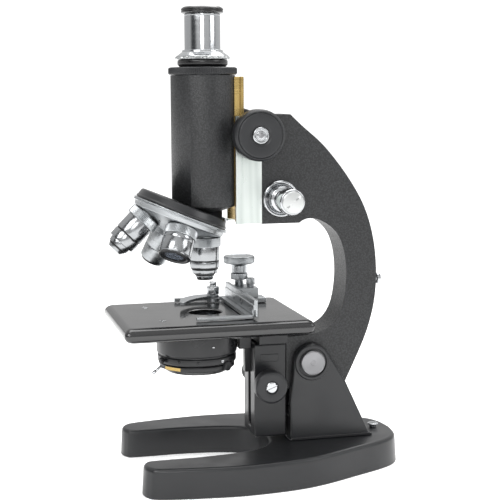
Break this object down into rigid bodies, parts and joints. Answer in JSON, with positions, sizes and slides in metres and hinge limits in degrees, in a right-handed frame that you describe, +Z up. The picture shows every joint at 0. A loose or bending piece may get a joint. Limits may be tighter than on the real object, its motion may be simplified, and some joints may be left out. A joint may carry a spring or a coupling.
{
  "type": "compound microscope",
  "caption": "Upright monocular microscope on a horseshoe base, with a tilting arm, rack focus, a revolving nosepiece, a mechanical stage and a condenser.",
  "frame": {"origin": "bottom centre of the whole microscope's box, on the table", "axes": "+Z up along the optical axis, +X from the stage to the arm and the heel of the base, +Y to the far side"},
  "size_m": [0.211, 0.14, 0.3287],
  "materials": {
    "black_enamel": "smooth satin black enamel",
    "crackle_enamel": "fine-grained crackle black enamel",
    "gloss_black": "polished black lacquer",
    "knob_plastic": "matte black, chamfered rims",
    "chrome": "bright polished",
    "satin_nickel": "satin nickel plate",
    "satin_aluminium": "satin, brushed lengthwise",
    "grey_steel": "grey turned steel",
    "brass": "aged brass",
    "optical_glass": "clear polished"
  },
  "bodies": {
    "stand": {"base": "black_enamel", "heel_screw": "chrome", "pillar": "black_enamel", "pillar_bolt": "grey_steel", "inclination_axle": "grey_steel", "inclination_cap_near": "grey_steel", "inclination_cap_far": "grey_steel"},
    "limb": {"arm": "crackle_enamel", "arm_back_screw": "chrome", "stage_bracket": "black_enamel", "stage_plate": "gloss_black", "substage_guide": "black_enamel", "stage_rail": "satin_nickel", "fine_flange_near": "chrome", "fine_flange_far": "chrome"},
    "fine_slide": {"guide_block": "satin_aluminium"},
    "fine_knob": {"fine_shaft": "grey_steel", "fine_knob_near": "chrome", "fine_knob_far": "chrome", "fine_cap_near": "satin_aluminium", "fine_cap_far": "satin_aluminium"},
    "coarse_knob": {"coarse_pinion": "grey_steel", "coarse_knob_near": "knob_plastic", "coarse_knob_far": "knob_plastic", "coarse_cap_near": "chrome", "coarse_cap_far": "chrome"},
    "tube": {"tube_slide": "brass", "coarse_rack": "brass", "body_tube": "crackle_enamel", "tube_ring": "knob_plastic", "tube_collar": "knob_plastic", "draw_tube_ring": "chrome", "nosepiece_plate": "black_enamel", "nosepiece_pivot": "grey_steel"},
    "draw_tube": {"draw_tube": "chrome"},
    "eyepiece": {"eyepiece_body": "knob_plastic", "eye_lens": "optical_glass", "field_lens": "optical_glass"},
    "turret": {"nosepiece_turret": "satin_nickel", "objective_high": "chrome", "objective_low": "chrome", "objective_medium": "satin_nickel", "objective_oil": "chrome"},
    "cross_slide": {"cross_plate": "satin_nickel", "bridge_screw": "satin_nickel"},
    "x_knob": {"x_knob_lower": "satin_nickel"},
    "y_knob": {"y_knob_upper": "satin_nickel"},
    "slide_holder": {"slide_holder_frame": "satin_nickel", "finger_post": "satin_nickel"},
    "spring_finger": {"spring_finger_blade": "satin_nickel"},
    "condenser": {"condenser_carrier": "black_enamel", "condenser_body": "black_enamel", "condenser_lens": "optical_glass"},
    "iris": {"iris_ring": "brass"},
    "substage_knob": {"substage_pinion": "grey_steel", "substage_knob_near": "knob_plastic", "substage_knob_far": "knob_plastic"}
  },
  "joints": [
    {"name": "inclination", "type": "hinge", "parent": "stand", "child": "limb", "pos_m": [0.03732, 0, 0.0776], "axis": [0, 1, 0], "range_deg": [0, 45]},
    {"name": "fine_focus", "type": "slide", "parent": "limb", "child": "fine_slide", "axis": [0, 0, 1], "range_m": [-0.001, 0.001]},
    {"name": "fine_knob_turn", "type": "hinge", "parent": "limb", "child": "fine_knob", "pos_m": [0.01532, 0, 0.1955], "axis": [0, 1, 0], "range_deg": [-46, 46]},
    {"name": "coarse_focus", "type": "slide", "parent": "fine_slide", "child": "tube", "axis": [0, 0, 1], "range_m": [-0.012, 0.03]},
    {"name": "coarse_knob_turn", "type": "hinge", "parent": "fine_slide", "child": "coarse_knob", "pos_m": [-0.00408, 0, 0.2408], "axis": [0, 1, 0], "range_deg": [-200, 500]},
    {"name": "draw_tube_slide", "type": "slide", "parent": "tube", "child": "draw_tube", "axis": [0, 0, 1], "range_m": [-0.02, 0.015]},
    {"name": "eyepiece_lift", "type": "slide", "parent": "draw_tube", "child": "eyepiece", "axis": [0, 0, 1], "range_m": [0, 0.04]},
    {"name": "nosepiece_turn", "type": "hinge", "parent": "tube", "child": "turret", "pos_m": [-0.03668, 0, 0.227], "axis": [0.3786, 0, 0.9255], "continuous": true},
    {"name": "cross_travel", "type": "slide", "parent": "limb", "child": "cross_slide", "axis": [1, 0, 0], "range_m": [-0.016, 0.002]},
    {"name": "x_knob_turn", "type": "hinge", "parent": "cross_slide", "child": "x_knob", "pos_m": [-0.00208, 0.038, 0.13], "axis": [0, 0, 1], "range_deg": [-300, 45]},
    {"name": "slide_travel", "type": "slide", "parent": "cross_slide", "child": "slide_holder", "axis": [0, 1, 0], "range_m": [-0.012, 0.008]},
    {"name": "y_knob_turn", "type": "hinge", "parent": "cross_slide", "child": "y_knob", "pos_m": [-0.00208, 0.038, 0.145], "axis": [0, 0, 1], "range_deg": [-160, 240]},
    {"name": "spring_finger_turn", "type": "hinge", "parent": "slide_holder", "child": "spring_finger", "pos_m": [-0.02218, 0.0386, 0.119], "axis": [0, 0, 1], "range_deg": [-12, 2], "stiffness_Nm_per_rad": 0.01, "springref_deg": 1.72},
    {"name": "condenser_focus", "type": "slide", "parent": "limb", "child": "condenser", "axis": [0, 0, 1], "range_m": [-0.025, 0]},
    {"name": "substage_knob_turn", "type": "hinge", "parent": "limb", "child": "substage_knob", "pos_m": [0.00332, 0, 0.0647], "axis": [0, 1, 0], "range_deg": [-425, 5]},
    {"name": "iris_turn", "type": "hinge", "parent": "condenser", "child": "iris", "pos_m": [-0.04298, 0, 0.0784], "axis": [0, 0, 1], "range_deg": [-30, 30]}
  ],
  "couplings": [
    {"joint": "fine_knob_turn", "follows": "fine_focus", "rad_per_m": 785.4},
    {"joint": "coarse_knob_turn", "follows": "coarse_focus", "rad_per_m": 285.7},
    {"joint": "x_knob_turn", "follows": "cross_travel", "rad_per_m": 312.5},
    {"joint": "y_knob_turn", "follows": "slide_travel", "rad_per_m": -208.3},
    {"joint": "substage_knob_turn", "follows": "condenser_focus", "rad_per_m": 294.1}
  ]
}
